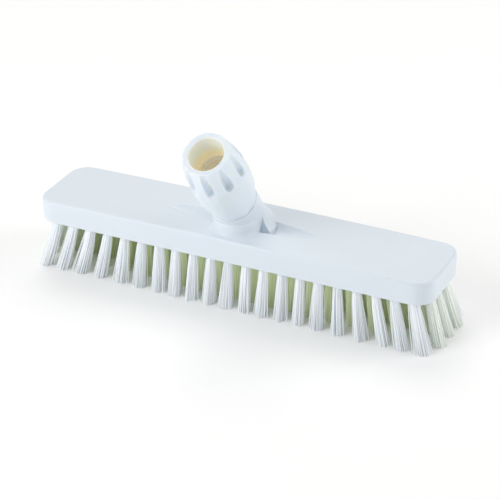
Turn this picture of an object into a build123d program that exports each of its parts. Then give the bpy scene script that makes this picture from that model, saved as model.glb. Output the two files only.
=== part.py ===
"""A deck scrub brush head: a moulded block with a round hub, an angled fluted handle socket
welded into the hub, and five rows of fanned filament tufts held by wire anchors.

Millimetres. X runs along the block, -Y is the side that the socket leans to, +Z is up.
The origin is on the floor, under the middle of the block."""

import os
from math import cos, pi, radians, sin, sqrt, tan

from build123d import *

os.makedirs("parts", exist_ok=True)

# Block
block_length = 300.0
block_width = 60.5
block_height = 16.4
block_crown = 1.2
block_corner_radius = 13.7
top_edge_radius = 2.0
foot_edge = 0.5
bristle_length = 36.0
overrun = 20.0

# Pocket along the top, on both sides of the hub
pocket_length = 117.0
pocket_setback = 1.5
pocket_depth = 6.6
pocket_axis_height = 4.0
pocket_floor = 2.0

# Hub: a neck that leans with the socket, an upright round boss in front of it, and a flared
# root behind the boss
socket_tilt = 34.8
neck_setback = 3.07
neck_length = 28.86
neck_radius = 16.9
collar_edge = 0.3
hub_lead = 12.27
hub_radius = 16.4
hub_drop = 3.55
hub_edge_radius = 2.0
hub_foot_radius = 2.5
flare_height = 11.0
flare_waist = 1.6
flare_foot = 6.6
flare_foot_depth = 0.8
back_share = 0.6
flare_front = 3.5

# Handle socket
barrel_length = 61.5
mouth_radius = 16.6
belly_radius = 20.6
belly_share = 0.504
barrel_foot_radius = 16.5
mouth_edge_radius = 1.3
bore_radius = 12.3
bore_depth = 20.0
bore_edge_radius = 0.6
thread_radius = 11.2
thread_floor = 1.45
spigot_radius = 12.5
spigot_sides = 8
spigot_length = 10.0
weld_clearance = 0.05

# Flutes and flats round the barrel
flute_count = 9
flute_radius = 3.2
flute_floor_radius = 15.9
flute_length = 19.0
first_flute_angle = 85.0
flat_depth = 0.35

# Tufts
inner_end_margin = 7.2
outer_end_margin = 14.0
side_margin = 7.75
row_tufts = 21
hole_radius = 2.5
hole_sides = 6
slice_thickness = 1.0
slice_rim = 3.0
slice_clearance = 0.05
plug_clearance = 0.05
root_spread = 1.6
tip_spread = 3.3
root_strand = 0.85
tip_strand = 1.77
side_strands = 3
outer_lean = 6.0
end_fan = 10.0
fan_start_share = 0.17
fan_end_share = 0.43

# Anchors
anchor_thickness = 0.5
anchor_height = 1.6
anchor_turn = 25.0

# Heights and the socket's axis, worked out from the sizes above
underside = bristle_length
block_top = underside + block_height
crown_top = block_top + block_crown
crown_radius = (block_length**2 / 4 + block_crown**2) / (2 * block_crown)
hub_base = crown_top - pocket_depth
slice_top = underside + slice_thickness
hole_top = hub_base - pocket_floor
anchor_foot = hole_top - anchor_height
plug_radius = hole_radius - plug_clearance
anchor_length = 2 * plug_radius * cos(pi / hole_sides)
row_pitch = (block_width - 2 * side_margin) / 4
tilt = radians(socket_tilt)
neck_foot = Plane(
    origin=(0, neck_setback, block_top), x_dir=(1, 0, 0), z_dir=(0, -sin(tilt), cos(tilt))
)
collar_plane = neck_foot.offset(neck_length)
mouth_plane = collar_plane.offset(barrel_length)
socket_axis = Axis(mouth_plane.origin, mouth_plane.z_dir)
hub_top = block_top + neck_length * cos(tilt) - neck_radius * sin(tilt) - hub_drop
belly_depth = belly_share * barrel_length
thread_depth = barrel_length - spigot_length - weld_clearance - thread_floor
# Each row: its name, its place across the block, its margin at the block's rounded ends, and
# how far the tips lean
rows = [
    ("front_outer", -2 * row_pitch, outer_end_margin, -outer_lean),
    ("front_inner", -row_pitch, inner_end_margin, -outer_lean / 2),
    ("middle", 0, inner_end_margin, 0),
    ("back_inner", row_pitch, inner_end_margin, outer_lean / 2),
    ("back_outer", 2 * row_pitch, outer_end_margin, outer_lean),
]


def crown_height(x):
    """The height of the block's crowned top at a place along the block."""
    return crown_top - crown_radius + sqrt(crown_radius**2 - x**2)


def tuft_places(y, margin):
    """The tuft centres of one row, evenly spaced between its margins."""
    reach = block_length / 2 - margin
    return [(reach * (2 * i / (row_tufts - 1) - 1), y) for i in range(row_tufts)]


def fan(x):
    """How far the tips stand outwards along the block, growing smoothly towards its ends."""
    fan_start = fan_start_share * block_length
    fan_end = fan_end_share * block_length
    share = min(max((abs(x) - fan_start) / (fan_end - fan_start), 0), 1)
    reach = end_fan * share**2 * (3 - 2 * share)
    return reach if x > 0 else -reach


def side_plane(turn):
    """The plane that holds the socket's axis and faces along the barrel's wall at this turn."""
    outwards = mouth_plane.x_dir.rotate(socket_axis, turn)
    return Plane(mouth_plane.origin, outwards, outwards.cross(mouth_plane.z_dir))


def strand(root, tip):
    """One four-sided strand from its root in the slice to its flat-cut tip on the floor."""
    root_height = underside + slice_thickness / 2
    turns = [2 * pi * (i + 1 / 2) / 4 for i in range(4)]
    top = [
        (root[0] + root_strand * cos(t), root[1] + root_strand * sin(t), root_height)
        for t in turns
    ]
    foot = [(tip[0] + tip_strand * cos(t), tip[1] + tip_strand * sin(t), 0) for t in turns]
    faces = [Face(Wire.make_polygon(top)), Face(Wire.make_polygon(foot))]
    for i in range(4):
        faces.append(Face(Wire.make_polygon([top[i - 1], top[i], foot[i], foot[i - 1]])))
    return Solid(Shell(faces))


def tuft_strands(x, y, lean):
    """The strands of one tuft: one in the middle and the rest spread round it."""
    tip_x = x + fan(x)
    tip_y = y + lean
    strands = [strand((x, y), (tip_x, tip_y))]
    for i in range(side_strands):
        turn = 2 * pi * i / side_strands + pi / 2
        root = (x + root_spread * cos(turn), y + root_spread * sin(turn))
        tip = (tip_x + tip_spread * cos(turn), tip_y + tip_spread * sin(turn))
        strands.append(strand(root, tip))
    return strands


# The leaning neck, and the hub that it makes with the upright boss in front of it.
# Both are taken down to the floor of the pocket.
with BuildPart() as neck:
    with BuildSketch(collar_plane):
        Circle(neck_radius)
    extrude(amount=-(neck_length + 2 * neck_radius))
    split(bisect_by=Plane.XY.offset(hub_base), keep=Keep.TOP)
    chamfer(neck.faces().sort_by(Axis.Z)[-1].edges(), collar_edge)

with BuildPart() as hub:
    with BuildSketch(Plane.XY.offset(hub_base)):
        with Locations((0, neck_setback - hub_lead)):
            Circle(hub_radius)
    extrude(amount=hub_top - hub_base)
    fillet(hub.faces().sort_by(Axis.Z)[-1].edges(), hub_edge_radius)
    add(neck.part)

# The flared root of the neck: level slices of the neck that grow outwards on the way down,
# cut off flat behind the boss
with BuildPart() as flare:
    for height, growth in (
        (flare_height, 0),
        (flare_height / 2, flare_waist),
        (-flare_foot_depth, flare_foot),
    ):
        with BuildSketch(Plane.XY.offset(block_top + height)):
            with Locations((0, neck_setback - height * tan(tilt))):
                Ellipse(neck_radius + growth, neck_radius / cos(tilt) + growth * back_share)
    loft()
    root = flare.faces().sort_by(Axis.Z)[0]
    extrude(root, amount=block_top - flare_foot_depth - hub_base)
    split(bisect_by=Plane.XZ.offset(flare_front), keep=Keep.BOTTOM)

# The lower half of a long spindle that hollows the pocket, kept clear of the hub
with BuildPart() as pocket:
    tip_height = crown_height(pocket_length / 2)
    spindle_axis = crown_top + pocket_axis_height
    with BuildSketch(Plane.XZ.offset(pocket_setback)):
        with BuildLine():
            floor_line = ThreePointArc(
                (-pocket_length / 2, tip_height),
                (0, crown_top - pocket_depth),
                (pocket_length / 2, tip_height),
            )
            Polyline(
                floor_line @ 1,
                (pocket_length / 2, spindle_axis),
                (-pocket_length / 2, spindle_axis),
                floor_line @ 0,
            )
        make_face()
    revolve(axis=Axis((0, -pocket_setback, spindle_axis), (1, 0, 0)))
    split(bisect_by=Plane.XY.offset(spindle_axis), keep=Keep.BOTTOM)
    add(hub.part, mode=Mode.SUBTRACT)

with BuildPart() as block:
    with BuildSketch(Plane.XY.offset(underside)):
        RectangleRounded(block_length, block_width, block_corner_radius)
    extrude(amount=block_height + 2 * block_crown)
    # The crowned top
    with BuildSketch(Plane.XZ):
        with BuildLine():
            reach = block_length / 2 + overrun
            crown = ThreePointArc(
                (-reach, crown_height(reach)), (0, crown_top), (reach, crown_height(reach))
            )
            Polyline(
                crown @ 1,
                (reach, underside - overrun),
                (-reach, underside - overrun),
                crown @ 0,
            )
        make_face()
    extrude(amount=block_width, both=True, mode=Mode.INTERSECT)
    fillet(block.faces().sort_by(Axis.Z)[-1].edges(), top_edge_radius)
    chamfer(block.faces().sort_by(Axis.Z)[0].edges(), foot_edge)
    # The hub with its rounded foot, and the pocket
    add(hub.part)
    new_edges = block.edges(Select.LAST)
    foot_edges = new_edges.filter_by(lambda e: e.bounding_box().max.Z < crown_top + block_crown)
    fillet(foot_edges, hub_foot_radius)
    add(pocket.part, mode=Mode.SUBTRACT)
    add(flare.part)
    # The eight-sided spigot that the socket is welded onto and can't turn on
    with BuildSketch(collar_plane):
        RegularPolygon(spigot_radius, spigot_sides)
    extrude(amount=spigot_length)
    # The shallow bed for the rows' slices, and the blind tuft holes
    with BuildSketch(Plane.XY.offset(underside)):
        RectangleRounded(
            block_length - 2 * slice_rim,
            block_width - 2 * slice_rim,
            block_corner_radius - slice_rim,
        )
    extrude(amount=slice_thickness, mode=Mode.SUBTRACT)
    with BuildSketch(Plane.XY.offset(slice_top)):
        for name, y, margin, lean in rows:
            with Locations(tuft_places(y, margin)):
                RegularPolygon(hole_radius, hole_sides)
    extrude(amount=hole_top - slice_top, mode=Mode.SUBTRACT)
block.part.label = "block"
export_step(block.part, "parts/block.step")

# All that lies outside one flat, seen along the flat
with BuildSketch(Plane.XY) as beyond_flat:
    with BuildLine():
        flat_line = ThreePointArc(
            (mouth_radius - flat_depth, 0),
            (belly_radius - flat_depth, -belly_depth),
            (barrel_foot_radius - flat_depth, -barrel_length),
        )
        Polyline(
            flat_line @ 1,
            (barrel_foot_radius - flat_depth, -barrel_length - overrun),
            (belly_radius + overrun, -barrel_length - overrun),
            (belly_radius + overrun, overrun),
            (mouth_radius - flat_depth, overrun),
            flat_line @ 0,
        )
    make_face()

with BuildPart() as handle_socket:
    # The barrel, one arc from its rounded mouth over its belly to its foot
    with BuildSketch(side_plane(0)) as profile:
        with BuildLine():
            side = ThreePointArc(
                (mouth_radius, 0), (belly_radius, -belly_depth), (barrel_foot_radius, -barrel_length)
            )
            Polyline(side @ 1, (0, -barrel_length), (0, 0), side @ 0)
        make_face()
        fillet(profile.vertices().group_by(Axis.Y)[-1].sort_by(Axis.X)[-1], mouth_edge_radius)
    revolve(axis=socket_axis)
    # The flats between the flutes
    for i in range(flute_count):
        turn = first_flute_angle + (i + 1 / 2) * 360 / flute_count
        with BuildSketch(side_plane(turn)):
            add(beyond_flat.sketch)
        extrude(amount=belly_radius, both=True, mode=Mode.SUBTRACT)
    # The flutes, round-bottomed and ending in a ball
    for i in range(flute_count):
        turn = radians(first_flute_angle + i * 360 / flute_count)
        centre_radius = flute_floor_radius + flute_radius
        centre = (centre_radius * cos(turn), centre_radius * sin(turn))
        with BuildSketch(mouth_plane):
            with Locations(centre):
                Circle(flute_radius)
        extrude(amount=-flute_length, mode=Mode.SUBTRACT)
        with Locations(mouth_plane.offset(-flute_length).location * Location(centre)):
            Sphere(flute_radius, mode=Mode.SUBTRACT)
    # The bore: a rounded edge, the plain lead-in, and the narrower length where the thread is
    with BuildSketch(side_plane(0)):
        with BuildLine():
            lip = JernArc((bore_radius, -bore_edge_radius), (0, 1), bore_edge_radius, -90)
            Polyline(
                lip @ 1,
                (bore_radius + bore_edge_radius, overrun),
                (0, overrun),
                (0, -thread_depth),
                (thread_radius, -thread_depth),
                (thread_radius, -bore_depth),
                (bore_radius, -bore_depth),
                lip @ 0,
            )
        make_face()
    revolve(axis=socket_axis, mode=Mode.SUBTRACT)
    # The recess that takes the hub's spigot
    with BuildSketch(collar_plane):
        RegularPolygon(spigot_radius + weld_clearance, spigot_sides)
    extrude(amount=spigot_length + weld_clearance, mode=Mode.SUBTRACT)
handle_socket.part.label = "handle_socket"
export_step(handle_socket.part, "parts/handle_socket.step")

for name, y, margin, lean in rows:
    places = tuft_places(y, margin)
    pieces = [piece for x, row_y in places for piece in tuft_strands(x, row_y, lean)]
    with BuildPart() as tufts:
        # The row's slice of the block's underside
        with BuildSketch(Plane.XY.offset(underside)):
            RectangleRounded(
                block_length - 2 * slice_rim - 2 * slice_clearance,
                block_width - 2 * slice_rim - 2 * slice_clearance,
                block_corner_radius - slice_rim,
            )
            with Locations((0, y)):
                Rectangle(block_length, row_pitch - 2 * slice_clearance, mode=Mode.INTERSECT)
        extrude(amount=slice_thickness)
        # The folded roots of the tufts in their holes
        with BuildSketch(Plane.XY.offset(slice_top)):
            with Locations(places):
                RegularPolygon(plug_radius, hole_sides)
        extrude(amount=anchor_foot - slice_top)
        add(pieces)
    tufts.part.label = "tufts_" + name
    export_step(tufts.part, "parts/tufts_" + name + ".step")

    with BuildPart() as anchors:
        with BuildSketch(Plane.XY.offset(anchor_foot)):
            with Locations(places):
                Rectangle(anchor_length, anchor_thickness, rotation=anchor_turn)
        extrude(amount=anchor_height)
    anchors.part.label = "anchors_" + name
    export_step(anchors.part, "parts/anchors_" + name + ".step")
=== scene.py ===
"""White deck scrub brush head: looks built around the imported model.

Metres. X runs along the block, -Y is the side that the socket leans to, +Z is up."""

import math
import random

import bmesh
import bpy
from mathutils import Matrix, Vector


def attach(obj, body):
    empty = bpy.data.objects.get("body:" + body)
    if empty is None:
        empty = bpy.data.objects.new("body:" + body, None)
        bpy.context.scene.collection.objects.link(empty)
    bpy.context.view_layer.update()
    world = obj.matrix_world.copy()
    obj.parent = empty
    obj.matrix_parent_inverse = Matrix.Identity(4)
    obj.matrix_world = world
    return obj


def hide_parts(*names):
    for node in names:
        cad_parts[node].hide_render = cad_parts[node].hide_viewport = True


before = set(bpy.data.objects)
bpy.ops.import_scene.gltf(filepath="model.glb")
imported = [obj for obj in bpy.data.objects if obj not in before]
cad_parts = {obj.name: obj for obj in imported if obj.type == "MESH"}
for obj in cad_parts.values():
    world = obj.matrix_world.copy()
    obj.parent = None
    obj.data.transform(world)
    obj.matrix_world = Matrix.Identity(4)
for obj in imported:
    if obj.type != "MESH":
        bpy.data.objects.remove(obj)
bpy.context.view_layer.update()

MM = 0.001
SEED = 7

# The block's underside and its tufts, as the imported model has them
UNDERSIDE = 36.0 * MM
BLOCK_LENGTH = 300.0 * MM
BLOCK_WIDTH = 60.5 * MM
RECESS_RIM = 3.0 * MM
RECESS_DEPTH = 1.0 * MM
RECESS_CORNER = 10.7 * MM
RECESS_CORNER_SEGMENTS = 8
PLATE_CLEARANCE = 0.06 * MM
HOLE_RADIUS = 2.55 * MM
HOLE_SIDES = 14
DRILL_LENGTH = 4 * RECESS_DEPTH
ROW_TUFTS = 21
OUTER_ROW_REACH = 136.0 * MM
INNER_ROW_REACH = 142.8 * MM
ROW_PITCH = 11.25 * MM
FAN_START = 51.0 * MM
FAN_END = 129.0 * MM
END_FAN = 10.0 * MM
OUTER_LEAN = 6.0 * MM
OUTER_PLACE = 2
# Each row: its place across the block in rows from the middle, and where its last tuft stands
ROWS = {
    "front_outer": (-OUTER_PLACE, OUTER_ROW_REACH),
    "front_inner": (-1, INNER_ROW_REACH),
    "middle": (0, INNER_ROW_REACH),
    "back_inner": (1, INNER_ROW_REACH),
    "back_outer": (OUTER_PLACE, OUTER_ROW_REACH),
}

# One filament, and how its ends and bends vary
FILAMENT_RADIUS = 0.29 * MM
FILAMENT_SIDES = 5
FILAMENT_TOP = 38.5 * MM
FILAMENT_SMOOTH_ANGLE = math.radians(50)
BENDS = (0.3, 0.6, 0.87)
LEVEL_REACH = 2.5 * MM
TIP_STRAY = 0.7 * MM
TIP_RAGGED = 0.9 * MM
BOW = 0.25 * MM
LOOSE_SHARE = 0.08
LOOSE_REACH = 3.4 * MM

# One tuft
FILAMENTS = 100
TUFT_ROOT = 2.25 * MM
TUFT_TIP = 4.4 * MM
TUFT_KINDS = 5
TUFT_STRAY = 0.45 * MM
GOLDEN_TURN = math.radians(137.508)
SPREAD_POWER = 0.6
LEAN_POWER = 1.15

# How far inside the brush an inner row's tufts stand, from the row's end inwards. It sets how
# much of the greener painted shade and of the painted glow a tuft gets
INSIDE_SHADE_SHARES = (0.25, 0.7, 1.0)
# Painted light: the emission that brightens the filaments and stands for light carried down them:
# on the outer tufts, in each row by its places from the middle, and as a share of that at the
# tips.
# The middle row's glow is the least, painted shade deep in the brush, and the tips' is less,
# painted shade near the floor
OUTER_PAINTED_GLOW = 0.065
ROW_PAINTED_GLOWS = (0.02, 0.075, 0.065)
FADE_START = 20.0 * MM
TIP_SHARE = 0.3

# The handle socket's bore and the thread's profile
SOCKET_TILT = math.radians(34.8)
MOUTH = Vector((0, -48.5, 126.6)) * MM
LEAD_IN_RADIUS = 12.3 * MM
LEAD_IN_DEPTH = 20.0 * MM
THREAD_WALL = 11.2 * MM
THREAD_HEIGHT = 1.0 * MM
THREAD_SINK = 0.05 * MM
THREAD_FOOT = 2.6 * MM
THREAD_CREST = 1.3 * MM
THREAD_PITCH = 5.0 * MM
THREAD_TURNS = 5
THREAD_STEPS = 40
THREAD_SMOOTH_ANGLE = math.radians(30)

# The plastic's patterns: how wide one feature is, and how far a bump goes
CLOUD_SIZE = 38 * MM
RUB_SIZE = 7 * MM
WAVE_SIZE = 24 * MM
WAVE_DEPTH = 0.25 * MM
WAVE_STRENGTH = 0.5
# The real grain is about 0.2 mm; it is drawn at 0.7 mm so that it shows
GRAIN_SIZE = 0.7 * MM
GRAIN_DEPTH = 0.012 * MM
GRAIN_STRENGTH = 0.6
PLASTIC_ROUGHNESS = (0.30, 0.42)
PLASTIC_IOR = 1.49
BLOCK_COLOURS = ("#dce5ed", "#e1e9f1")
SOCKET_COLOURS = ("#e0eaf3", "#e5eef7")
# How light spreads in the plastic: its share, the reach of each colour and their scale
BLOCK_DEPTH = (0.12, (1.0, 1.0, 1.0), 1.5 * MM)
SOCKET_DEPTH = (0.7, (1.0, 0.85, 0.55), 6.0 * MM)

# The bore's painted light: where it begins about the axis, where its colour turns warm, and its
# emission
BORE_LOOK_START = LEAD_IN_RADIUS + 0.7 * MM
BORE_LOOK_FULL = LEAD_IN_RADIUS + 0.1 * MM
WARM_LIGHT_START = 12.0 * MM
WARM_LIGHT_END = 18.0 * MM
# A cool white and a warm cream: painted light in the shaded bore; the plastic is white all
# through
BORE_PAINTED_LIGHT_COLOURS = ("#f2f7f2", "#f5ecd0")
BORE_GLOW_COLOUR = "#fff4e4"
BORE_GLOWS = (0.03, 0.09)

# The filaments and the wire
FILAMENT_WHITES = ("#eef5fa", "#fafdff")
# The greener pair is painted shade for the rows deep inside the brush; the filaments are white
FILAMENT_SHADE_GREENS = ("#e4efc2", "#f4fadc")
STREAK_SIZE = 1.5 * MM
FILAMENT_ROUGHNESS = (0.28, 0.45)
FILAMENT_IOR = 1.57
WIRE_COLOUR = "#c8c7c2"
WIRE_LINE_SIZE = 0.3 * MM
WIRE_ROUGHNESS = (0.2, 0.4)

# The floor, the world and the lamps: each lamp's place, power in watts and colour
WHITE = "#ffffff"
FLOOR_SIZE = 12.0
FLOOR_LIFT = 0.03
WORLD_LIGHT = 0.5
LIT_POINT = Vector((0, 0, 0.05))
SOFTBOX_SIZE = 0.9
SOFTBOXES = {
    "left_softbox": ((-0.75, -1.05, 0.7), 9.5, WHITE),
    "right_softbox": ((1.05, 0.45, 0.6), 5.5, WHITE),
    "back_softbox": ((-0.5, 0.75, 1.2), 5.2, "#fffdf8"),
}

# The view: the camera's place and axes, and a lens that gives the photograph's perspective
CAMERA_PLACE = Vector((528.95, -1002.88, 672.37)) * MM
CAMERA_RIGHT = Vector((0.892764, 0.449766, -0.026124))
CAMERA_UP = Vector((-0.201609, 0.450694, 0.869614))
CAMERA_BACK = Vector((0.402897, -0.771094, 0.493040))
SENSOR = 36.0
LENS = 134.976
VIEW_REACH = 20


def linear(code):
    """A linear colour with full alpha from an sRGB hex value."""
    parts = [int(code[i : i + 2], 16) / 255 for i in (1, 3, 5)]
    return [p / 12.92 if p <= 0.04045 else ((p + 0.055) / 1.055) ** 2.4 for p in parts] + [1.0]


def add_node(tree, kind, links=(), **settings):
    """Adds a node, sets its properties and input values, and links (input, node, output)."""
    made = tree.nodes.new(kind)
    for name, value in settings.items():
        if hasattr(made, name):
            setattr(made, name, value)
        else:
            made.inputs[name.replace("_", " ")].default_value = value
    for socket, source, output in links:
        tree.links.new(source.outputs[output], made.inputs[socket])
    return made


def empty_tree(owner):
    """The owner's node tree, with nothing in it."""
    owner.use_nodes = True
    owner.node_tree.nodes.clear()
    return owner.node_tree


def only(piece):
    """Leaves this one piece selected and active."""
    bpy.ops.object.select_all(action="DESELECT")
    piece.select_set(True)
    bpy.context.view_layer.objects.active = piece


def select_where(piece, test):
    """In edit mode, selects the vertices that pass the test, and all that they bound."""
    bpy.ops.mesh.select_mode(type="VERT")
    bpy.ops.mesh.select_all(action="DESELECT")
    shape = bmesh.from_edit_mesh(piece.data)
    for vertex in shape.verts:
        vertex.select = test(vertex.co)
    shape.select_flush(True)
    bmesh.update_edit_mesh(piece.data)


def copy_of(piece):
    """A copy of the piece with a mesh of its own."""
    twin = piece.copy()
    twin.data = piece.data.copy()
    bpy.context.collection.objects.link(twin)
    return twin


def join(pieces, name):
    """One named piece from several."""
    bpy.ops.object.select_all(action="DESELECT")
    for piece in pieces:
        piece.select_set(True)
    bpy.context.view_layer.objects.active = pieces[0]
    bpy.ops.object.join()
    pieces[0].name = name
    pieces[0].data.name = name
    return pieces[0]


bpy.ops.object.select_all(action="DESELECT")
random.seed(SEED)


# Filaments: one straight filament, a few kinds of tuft made of bent copies of it, and the
# rows, which are planted with copies of those tufts


def slide_level(piece, height, offset):
    """Moves the vertices near one height."""
    only(piece)
    bpy.ops.object.mode_set(mode="EDIT")
    select_where(piece, lambda co: abs(co.z - height) < LEVEL_REACH)
    bpy.ops.transform.translate(value=offset)
    bpy.ops.object.mode_set(mode="OBJECT")


def model_filament():
    """One straight filament, divided at its bends."""
    bpy.ops.mesh.primitive_cylinder_add(
        vertices=FILAMENT_SIDES,
        radius=FILAMENT_RADIUS,
        depth=FILAMENT_TOP,
        location=(0, 0, FILAMENT_TOP / 2),
    )
    filament = bpy.context.active_object
    bpy.ops.object.transform_apply(location=True)
    bpy.ops.object.mode_set(mode="EDIT")
    for share in BENDS:
        bpy.ops.mesh.select_all(action="SELECT")
        bpy.ops.mesh.bisect(plane_co=(0, 0, share * FILAMENT_TOP), plane_no=(0, 0, 1))
    bpy.ops.object.mode_set(mode="OBJECT")
    bpy.ops.object.shade_smooth_by_angle(angle=FILAMENT_SMOOTH_ANGLE)
    return filament


def spread(share):
    """How much of its way outwards a filament has gone at this share of its length."""
    return (1 - share) ** SPREAD_POWER


def note(piece, name, value):
    """Stores one value on all vertices of a piece for its material to read."""
    stored = piece.data.attributes.new(name, "FLOAT", "POINT")
    stored.data.foreach_set("value", [value] * len(piece.data.vertices))


def model_tuft(filament, kind):
    """A round bundle of filaments that opens towards its nearly flat-cut tips."""
    strands = []
    for i in range(FILAMENTS):
        turn = i * GOLDEN_TURN
        out = math.sqrt((i + 0.5) / FILAMENTS)
        way = Vector((math.cos(turn), math.sin(turn), 0))
        stray = Vector((random.uniform(-1, 1), random.uniform(-1, 1), 0)) * TIP_STRAY
        if random.random() < LOOSE_SHARE:
            stray += way * LOOSE_REACH * random.random()
        root = way * out * TUFT_ROOT
        tip = way * out * TUFT_TIP + stray
        bow = Vector((random.uniform(-1, 1), random.uniform(-1, 1), 0)) * BOW
        strand = copy_of(filament)
        for share in (0, *BENDS, 1):
            offset = root + (tip - root) * spread(share) + bow * math.sin(math.pi * share)
            if share == 0:
                # Squared, so that most tips end close to the floor
                offset.z = random.random() ** 2 * TIP_RAGGED
            slide_level(strand, share * FILAMENT_TOP, offset)
        note(strand, "tone", random.random())
        strands.append(strand)
    return join(strands, f"tuft_{kind}")


def fan(x):
    """How far a tuft's tips stand outwards along the block."""
    share = min(max((abs(x) - FAN_START) / (FAN_END - FAN_START), 0), 1)
    return math.copysign(END_FAN * share**2 * (3 - 2 * share), x)


def plant_tuft(tuft, x, y, lean):
    """A copy of a tuft at its hole, turned at random and leaning with its row."""
    planted = copy_of(tuft)
    planted.data.transform(Matrix.Rotation(random.uniform(0, 2 * math.pi), 4, "Z"))
    tilt = Vector((random.uniform(-1, 1), random.uniform(-1, 1), 0)) * TUFT_STRAY
    tip = Vector((fan(x), lean, 0)) + tilt
    for share in (0, *BENDS):
        slide_level(planted, share * FILAMENT_TOP, tip * (1 - share) ** LEAN_POWER)
    planted.data.transform(Matrix.Translation((x, y, 0)))
    return planted


filament = model_filament()
tufts = [model_tuft(filament, kind) for kind in range(TUFT_KINDS)]
filament_rows = []
hole_places = []
for row, (place, reach) in ROWS.items():
    y = place * ROW_PITCH
    lean = place / OUTER_PLACE * OUTER_LEAN
    planted = []
    for i in range(ROW_TUFTS):
        x = reach * (2 * i / (ROW_TUFTS - 1) - 1)
        hole_places.append((x, y))
        tuft = plant_tuft(random.choice(tufts), x, y, lean)
        # The inside share gives inner tufts the greener painted shade and sets their painted glow
        inside = 0
        if abs(place) < OUTER_PLACE:
            from_end = min(i, ROW_TUFTS - 1 - i)
            inside = INSIDE_SHADE_SHARES[min(from_end, len(INSIDE_SHADE_SHARES) - 1)]
        note(tuft, "inside", inside)
        note(tuft, "glow", OUTER_PAINTED_GLOW + inside * (ROW_PAINTED_GLOWS[abs(place)] - OUTER_PAINTED_GLOW))
        planted.append(tuft)
    filaments = join(planted, "filaments_" + row)
    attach(filaments, "root")
    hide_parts("tufts_" + row)
    filament_rows.append(filaments)
for spare in [filament, *tufts]:
    bpy.data.objects.remove(spare)


# The block's underside between the tufts: a plate in the shallow recess, drilled for them
bpy.ops.object.select_all(action="DESELECT")
bpy.ops.mesh.primitive_cube_add(
    size=1, location=(0, 0, UNDERSIDE + (RECESS_DEPTH - PLATE_CLEARANCE) / 2)
)
plate = bpy.context.active_object
plate.scale = (
    BLOCK_LENGTH - 2 * RECESS_RIM - 2 * PLATE_CLEARANCE,
    BLOCK_WIDTH - 2 * RECESS_RIM - 2 * PLATE_CLEARANCE,
    RECESS_DEPTH - PLATE_CLEARANCE,
)
bpy.ops.object.transform_apply(location=True, scale=True)
bpy.ops.object.mode_set(mode="EDIT")
bpy.ops.mesh.select_mode(type="EDGE")
bpy.ops.mesh.select_all(action="DESELECT")
shape = bmesh.from_edit_mesh(plate.data)
for edge in shape.edges:
    edge.select = abs((edge.verts[0].co - edge.verts[1].co).z) > RECESS_DEPTH / 2
bmesh.update_edit_mesh(plate.data)
bpy.ops.mesh.bevel(offset=RECESS_CORNER, segments=RECESS_CORNER_SEGMENTS)
bpy.ops.object.mode_set(mode="OBJECT")
drills = []
for x, y in hole_places:
    bpy.ops.mesh.primitive_cylinder_add(
        vertices=HOLE_SIDES, radius=HOLE_RADIUS, depth=DRILL_LENGTH, location=(x, y, UNDERSIDE)
    )
    drills.append(bpy.context.active_object)
drill = join(drills, "drill")
only(plate)
cut = plate.modifiers.new("holes", "BOOLEAN")
cut.object = drill
cut.operation = "DIFFERENCE"
bpy.ops.object.modifier_apply(modifier=cut.name)
bpy.data.objects.remove(drill)
plate.name = plate.data.name = "underside_plate"
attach(plate, "root")


# The screw thread in the socket: a ridge profile swept round and down the bore, made about
# the Z axis with the mouth up and then placed in the leaning socket
bpy.ops.object.select_all(action="DESELECT")
bpy.ops.mesh.primitive_plane_add(size=1)
thread = bpy.context.active_object
bpy.ops.object.mode_set(mode="EDIT")
bpy.ops.mesh.delete(type="ONLY_FACE")
bpy.ops.object.mode_set(mode="OBJECT")
corners = [
    (THREAD_WALL + THREAD_SINK, -THREAD_FOOT / 2),
    (THREAD_WALL + THREAD_SINK, THREAD_FOOT / 2),
    (THREAD_WALL - THREAD_HEIGHT, THREAD_CREST / 2),
    (THREAD_WALL - THREAD_HEIGHT, -THREAD_CREST / 2),
]
order = sorted(thread.data.vertices, key=lambda v: math.atan2(v.co.y, v.co.x))
for vertex, (reach, height) in zip(order, corners):
    vertex.co = (reach, 0, height)
only(thread)
turn = thread.modifiers.new("turn", "SCREW")
turn.angle = 2 * math.pi * THREAD_TURNS
turn.screw_offset = -THREAD_PITCH * THREAD_TURNS
turn.steps = turn.render_steps = THREAD_STEPS * THREAD_TURNS
bpy.ops.object.modifier_apply(modifier=turn.name)
bpy.ops.object.mode_set(mode="EDIT")
bpy.ops.mesh.select_all(action="DESELECT")
bpy.ops.mesh.select_mode(type="EDGE")
bpy.ops.mesh.select_non_manifold()
bpy.ops.mesh.edge_face_add()
bpy.ops.mesh.select_all(action="SELECT")
bpy.ops.mesh.normals_make_consistent(inside=False)
bpy.ops.object.mode_set(mode="OBJECT")
to_socket = Matrix.Translation(MOUTH) @ Matrix.Rotation(SOCKET_TILT, 4, "X")
thread.data.transform(to_socket @ Matrix.Translation((0, 0, -LEAD_IN_DEPTH - THREAD_FOOT)))
bpy.ops.object.shade_smooth_by_angle(angle=THREAD_SMOOTH_ANGLE)
thread.name = thread.data.name = "socket_thread"
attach(thread, "root")


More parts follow.
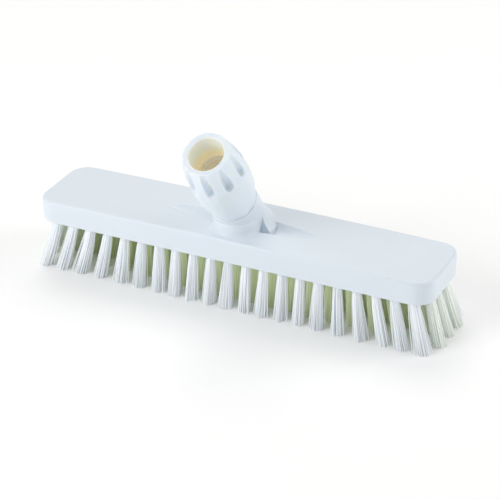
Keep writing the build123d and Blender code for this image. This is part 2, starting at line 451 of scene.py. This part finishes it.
# Finishes
def polypropylene(name, colours, depth):
    """White injection-moulded polypropylene: milky, satin, with a fine spark-eroded grain and
    the slight sink waves of a thick moulding. The eye reads it as soft, even and slightly
    deep. Gives the material, its tree, its shader and its colour."""
    finish = bpy.data.materials.new(name)
    tree = empty_tree(finish)
    place = add_node(tree, "ShaderNodeTexCoord")
    clouds = add_node(
        tree,
        "ShaderNodeTexNoise",
        [("Vector", place, "Object")],
        Scale=1 / CLOUD_SIZE,
        Detail=2.0,
    )
    colour = add_node(
        tree,
        "ShaderNodeMix",
        [("Factor", clouds, "Fac")],
        data_type="RGBA",
        A=linear(colours[0]),
        B=linear(colours[1]),
    )
    rubbed = add_node(
        tree, "ShaderNodeTexNoise", [("Vector", place, "Object")], Scale=1 / RUB_SIZE, Detail=4.0
    )
    roughness = add_node(
        tree,
        "ShaderNodeMapRange",
        [("Value", rubbed, "Fac")],
        To_Min=PLASTIC_ROUGHNESS[0],
        To_Max=PLASTIC_ROUGHNESS[1],
    )
    grain = add_node(
        tree,
        "ShaderNodeTexNoise",
        [("Vector", place, "Object")],
        Scale=1 / GRAIN_SIZE,
        Detail=3.0,
    )
    waves = add_node(
        tree, "ShaderNodeTexNoise", [("Vector", place, "Object")], Scale=1 / WAVE_SIZE, Detail=1.0
    )
    sunk = add_node(
        tree,
        "ShaderNodeBump",
        [("Height", waves, "Fac")],
        Distance=WAVE_DEPTH,
        Strength=WAVE_STRENGTH,
    )
    fine = add_node(
        tree,
        "ShaderNodeBump",
        [("Height", grain, "Fac"), ("Normal", sunk, "Normal")],
        Distance=GRAIN_DEPTH,
        Strength=GRAIN_STRENGTH,
    )
    share, reaches, scale = depth
    shader = add_node(
        tree,
        "ShaderNodeBsdfPrincipled",
        [
            ("Base Color", colour, "Result"),
            ("Roughness", roughness, "Result"),
            ("Normal", fine, "Normal"),
        ],
        IOR=PLASTIC_IOR,
        Subsurface_Weight=share,
        Subsurface_Radius=reaches,
        Subsurface_Scale=scale,
    )
    add_node(tree, "ShaderNodeOutputMaterial", [("Surface", shader, "BSDF")])
    return finish, tree, shader, colour


block_finish = polypropylene("injection_moulded_polypropylene", BLOCK_COLOURS, BLOCK_DEPTH)[0]
socket_finish, tree, shader, outer = polypropylene(
    "moulded_polypropylene_socket", SOCKET_COLOURS, SOCKET_DEPTH
)

# Inside the bore the wall turns from cool white to a warm cream, which looks tan in the depth:
# painted light for the warm light that bounces about the shaded bore, on a wall as white as the
# rest. Daylight comes through the real wall there: a faint emission, painted light, stands for
# it.
place = add_node(tree, "ShaderNodeTexCoord")
upright = add_node(
    tree,
    "ShaderNodeMapping",
    [("Vector", place, "Object")],
    vector_type="TEXTURE",
    Location=MOUTH,
    Rotation=(SOCKET_TILT, 0, 0),
)
parts = add_node(tree, "ShaderNodeSeparateXYZ", [("Vector", upright, "Vector")])
flat = add_node(tree, "ShaderNodeCombineXYZ", [("X", parts, "X"), ("Y", parts, "Y")])
reach = add_node(tree, "ShaderNodeVectorMath", [(0, flat, "Vector")], operation="LENGTH")
inside = add_node(
    tree,
    "ShaderNodeMapRange",
    [("Value", reach, "Value")],
    From_Min=BORE_LOOK_START,
    From_Max=BORE_LOOK_FULL,
)
deep = add_node(
    tree,
    "ShaderNodeMapRange",
    [("Value", parts, "Z")],
    From_Min=-WARM_LIGHT_START,
    From_Max=-WARM_LIGHT_END,
)
bore_painted_light = add_node(
    tree,
    "ShaderNodeMix",
    [("Factor", deep, "Result")],
    data_type="RGBA",
    A=linear(BORE_PAINTED_LIGHT_COLOURS[0]),
    B=linear(BORE_PAINTED_LIGHT_COLOURS[1]),
)
whole = add_node(
    tree,
    "ShaderNodeMix",
    [("Factor", inside, "Result"), ("A", outer, "Result"), ("B", bore_painted_light, "Result")],
    data_type="RGBA",
)
tree.links.new(whole.outputs["Result"], shader.inputs["Base Color"])
bore_glow = add_node(
    tree,
    "ShaderNodeMapRange",
    [("Value", deep, "Result")],
    To_Min=BORE_GLOWS[0],
    To_Max=BORE_GLOWS[1],
)
lit = add_node(
    tree,
    "ShaderNodeMath",
    [(0, bore_glow, "Result"), (1, inside, "Result")],
    operation="MULTIPLY",
)
shader.inputs["Emission Color"].default_value = linear(BORE_GLOW_COLOUR)
tree.links.new(lit.outputs["Value"], shader.inputs["Emission Strength"])

# Extruded polyester filament: silky and white. A real bundle is translucent, and the light
# that has passed through it comes out yellow-green, so the rows inside the brush look greener in
# their shade. Here the filaments are opaque and all white: the greener colour of the inner rows
# is painted shade, and the faint emission is painted light.
filament_finish = bpy.data.materials.new("extruded_polyester_filament")
tree = empty_tree(filament_finish)
tone = add_node(tree, "ShaderNodeAttribute", attribute_name="tone")
white, green = [
    add_node(
        tree,
        "ShaderNodeMix",
        [("Factor", tone, "Fac")],
        data_type="RGBA",
        A=linear(low),
        B=linear(high),
    )
    for low, high in (FILAMENT_WHITES, FILAMENT_SHADE_GREENS)
]
# Painted shade: the greener colour for tufts inside the brush
inside = add_node(tree, "ShaderNodeAttribute", attribute_name="inside")
colour = add_node(
    tree,
    "ShaderNodeMix",
    [("Factor", inside, "Fac"), ("A", white, "Result"), ("B", green, "Result")],
    data_type="RGBA",
)
place = add_node(tree, "ShaderNodeTexCoord")
streaks = add_node(
    tree, "ShaderNodeTexNoise", [("Vector", place, "Object")], Scale=1 / STREAK_SIZE, Detail=2.0
)
roughness = add_node(
    tree,
    "ShaderNodeMapRange",
    [("Value", streaks, "Fac")],
    To_Min=FILAMENT_ROUGHNESS[0],
    To_Max=FILAMENT_ROUGHNESS[1],
)
# Painted light: each tuft's glow, fading towards the tips as painted shade near the floor
glow = add_node(tree, "ShaderNodeAttribute", attribute_name="glow")
parts = add_node(tree, "ShaderNodeSeparateXYZ", [("Vector", place, "Object")])
fade = add_node(
    tree,
    "ShaderNodeMapRange",
    [("Value", parts, "Z")],
    From_Max=FADE_START,
    To_Min=TIP_SHARE,
)
faded = add_node(
    tree, "ShaderNodeMath", [(0, glow, "Fac"), (1, fade, "Result")], operation="MULTIPLY"
)
skin = add_node(
    tree,
    "ShaderNodeBsdfPrincipled",
    [
        ("Base Color", colour, "Result"),
        ("Roughness", roughness, "Result"),
        ("Emission Color", colour, "Result"),
        ("Emission Strength", faded, "Value"),
    ],
    IOR=FILAMENT_IOR,
)
add_node(tree, "ShaderNodeOutputMaterial", [("Surface", skin, "BSDF")])

# Stainless wire, drawn and cut: bright and grey, with a fine unevenness in its shine
wire_finish = bpy.data.materials.new("drawn_stainless_wire")
tree = empty_tree(wire_finish)
place = add_node(tree, "ShaderNodeTexCoord")
lines = add_node(
    tree,
    "ShaderNodeTexNoise",
    [("Vector", place, "Object")],
    Scale=1 / WIRE_LINE_SIZE,
    Detail=2.0,
)
roughness = add_node(
    tree,
    "ShaderNodeMapRange",
    [("Value", lines, "Fac")],
    To_Min=WIRE_ROUGHNESS[0],
    To_Max=WIRE_ROUGHNESS[1],
)
shader = add_node(
    tree,
    "ShaderNodeBsdfPrincipled",
    [("Roughness", roughness, "Result")],
    Metallic=1.0,
    Base_Color=linear(WIRE_COLOUR),
)
add_node(tree, "ShaderNodeOutputMaterial", [("Surface", shader, "BSDF")])


def finish_in(piece, finish):
    """Gives the whole piece one finish."""
    piece.data.materials.clear()
    piece.data.materials.append(finish)


finish_in(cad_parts["block"], block_finish)
finish_in(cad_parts["handle_socket"], socket_finish)
finish_in(plate, block_finish)
finish_in(thread, socket_finish)
for row in ROWS:
    finish_in(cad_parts["anchors_" + row], wire_finish)
for filaments in filament_rows:
    finish_in(filaments, filament_finish)


# Floor: white paper, lifted a little for the camera only, so that it meets the background
bpy.ops.mesh.primitive_plane_add(size=FLOOR_SIZE)
floor = bpy.context.active_object
floor.name = "floor"
floor_finish = bpy.data.materials.new("white_paper_floor")
tree = empty_tree(floor_finish)
matt = add_node(tree, "ShaderNodeBsdfDiffuse", Color=linear(WHITE))
glow = add_node(tree, "ShaderNodeEmission", Strength=FLOOR_LIFT)
seen = add_node(tree, "ShaderNodeLightPath")
lifted = add_node(tree, "ShaderNodeAddShader", [(0, matt, "BSDF"), (1, glow, "Emission")])
either = add_node(
    tree,
    "ShaderNodeMixShader",
    [(0, seen, "Is Camera Ray"), (1, matt, "BSDF"), (2, lifted, "Shader")],
)
add_node(tree, "ShaderNodeOutputMaterial", [("Surface", either, "Shader")])
finish_in(floor, floor_finish)

# World: white behind the brush, and dimmer where it lights it
world = bpy.data.worlds.new("studio")
bpy.context.scene.world = world
tree = empty_tree(world)
seen = add_node(tree, "ShaderNodeLightPath")
level = add_node(
    tree,
    "ShaderNodeMapRange",
    [("Value", seen, "Is Camera Ray")],
    To_Min=WORLD_LIGHT,
    To_Max=1.0,
)
sky = add_node(
    tree, "ShaderNodeBackground", [("Strength", level, "Result")], Color=linear(WHITE)
)
add_node(tree, "ShaderNodeOutputWorld", [("Surface", sky, "Background")])


def softbox(name, place, power, colour):
    """A square softbox that faces the brush."""
    bpy.ops.object.light_add(type="AREA", location=place)
    lamp = bpy.context.active_object
    lamp.name = name
    lamp.data.shape = "SQUARE"
    lamp.data.size = SOFTBOX_SIZE
    lamp.data.energy = power
    lamp.data.color = linear(colour)[:3]
    lamp.rotation_euler = (LIT_POINT - Vector(place)).to_track_quat("-Z", "Y").to_euler()


for name, (place, power, colour) in SOFTBOXES.items():
    softbox(name, place, power, colour)

camera_data = bpy.data.cameras.new("camera")
camera = bpy.data.objects.new("camera", camera_data)
bpy.context.collection.objects.link(camera)
camera_data.lens = LENS
camera_data.sensor_width = SENSOR
camera_data.clip_end = VIEW_REACH
pose = Matrix((CAMERA_RIGHT, CAMERA_UP, CAMERA_BACK)).transposed().to_4x4()
camera.matrix_world = Matrix.Translation(CAMERA_PLACE) @ pose
bpy.context.scene.camera = camera

bpy.context.scene.view_settings.view_transform = "Standard"
